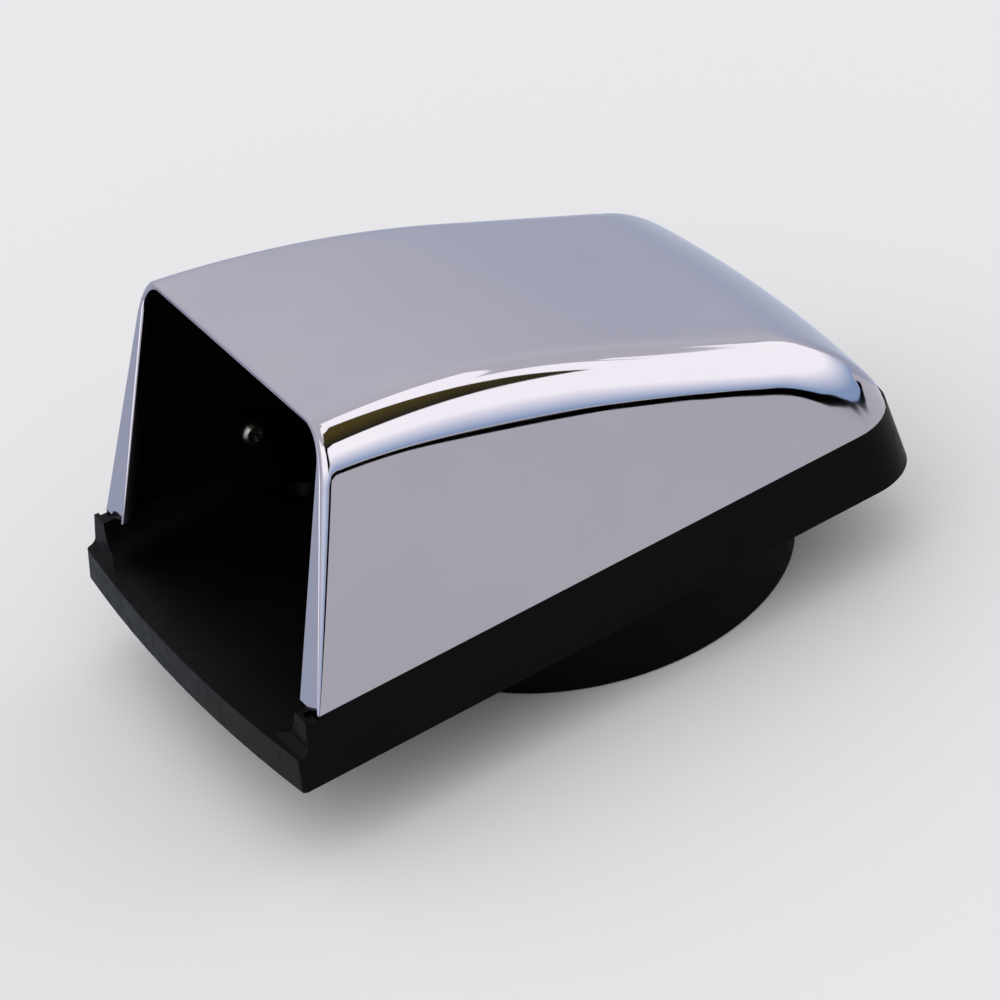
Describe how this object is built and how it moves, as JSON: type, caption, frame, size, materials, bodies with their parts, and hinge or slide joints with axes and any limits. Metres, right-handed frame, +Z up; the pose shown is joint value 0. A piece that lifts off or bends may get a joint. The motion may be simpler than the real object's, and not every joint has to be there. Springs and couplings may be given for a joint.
{
  "type": "cowl vent",
  "caption": "Low cowl ventilator for a boat deck: a chromed hood with a square raked mouth on a moulded base, with a round collar underneath for the ventilation hose.",
  "frame": {"origin": "on the hose collar's axis, in the plane of the deck that the base stands on", "axes": "+Z up out of the deck, -Y the way the mouth faces, X across; left and right mirror each other"},
  "size_m": [0.1194, 0.1748, 0.0964],
  "materials": {
    "chrome_shell": "polished",
    "hood_lining": "matt",
    "black_plastic": "satin",
    "collar_plastic": "satin",
    "stainless": "satin"
  },
  "bodies": {
    "root": {"hood": "chrome_shell", "base": "black_plastic", "hose_collar": "collar_plastic", "collar_screws": "stainless", "hood_screws": "stainless"}
  },
  "joints": []
}
